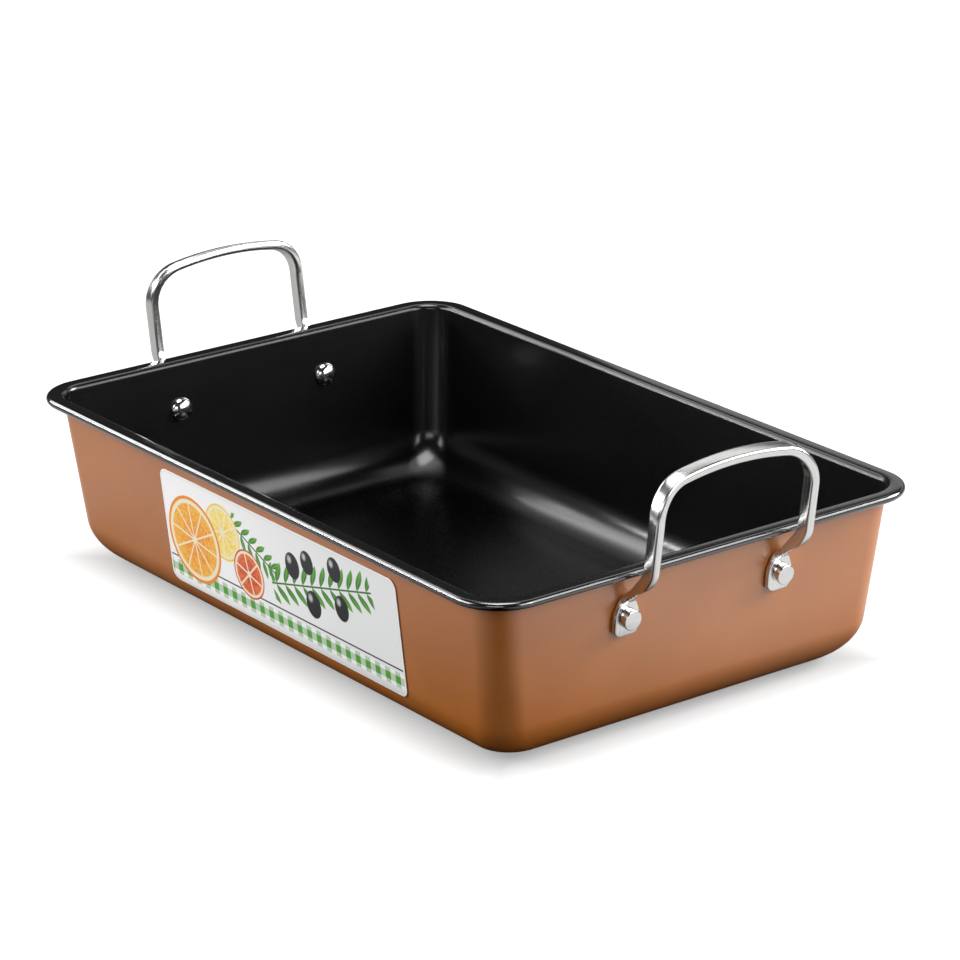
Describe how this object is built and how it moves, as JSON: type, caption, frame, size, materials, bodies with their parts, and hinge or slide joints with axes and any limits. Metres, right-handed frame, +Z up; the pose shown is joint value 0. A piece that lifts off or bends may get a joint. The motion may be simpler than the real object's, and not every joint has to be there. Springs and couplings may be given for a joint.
{
  "type": "roasting pan",
  "caption": "Deep rectangular roasting pan: drawn sheet steel with rolled rim, dark non-stick inside, copper-coloured outside, an upright bar handle riveted to each end, paper label in front.",
  "frame": {"origin": "on the table under the middle of the base", "axes": "+X along the pan towards the handle that is nearer in the picture, -Y towards the labelled front wall, +Z up"},
  "size_m": [0.424, 0.26, 0.1397],
  "materials": {
    "pan": "satin copper-coloured coating outside, dark grained non-stick coating inside and over the rim",
    "handle": "soft-brushed bright steel",
    "rivet": "polished steel",
    "label": "printed coated paper"
  },
  "bodies": {
    "root": {"pan_shell": "pan", "handle_right": "handle", "handle_left": "handle", "rivet_right_front": "rivet", "rivet_right_back": "rivet", "rivet_left_front": "rivet", "rivet_left_back": "rivet", "paper_label": "label"}
  },
  "joints": []
}
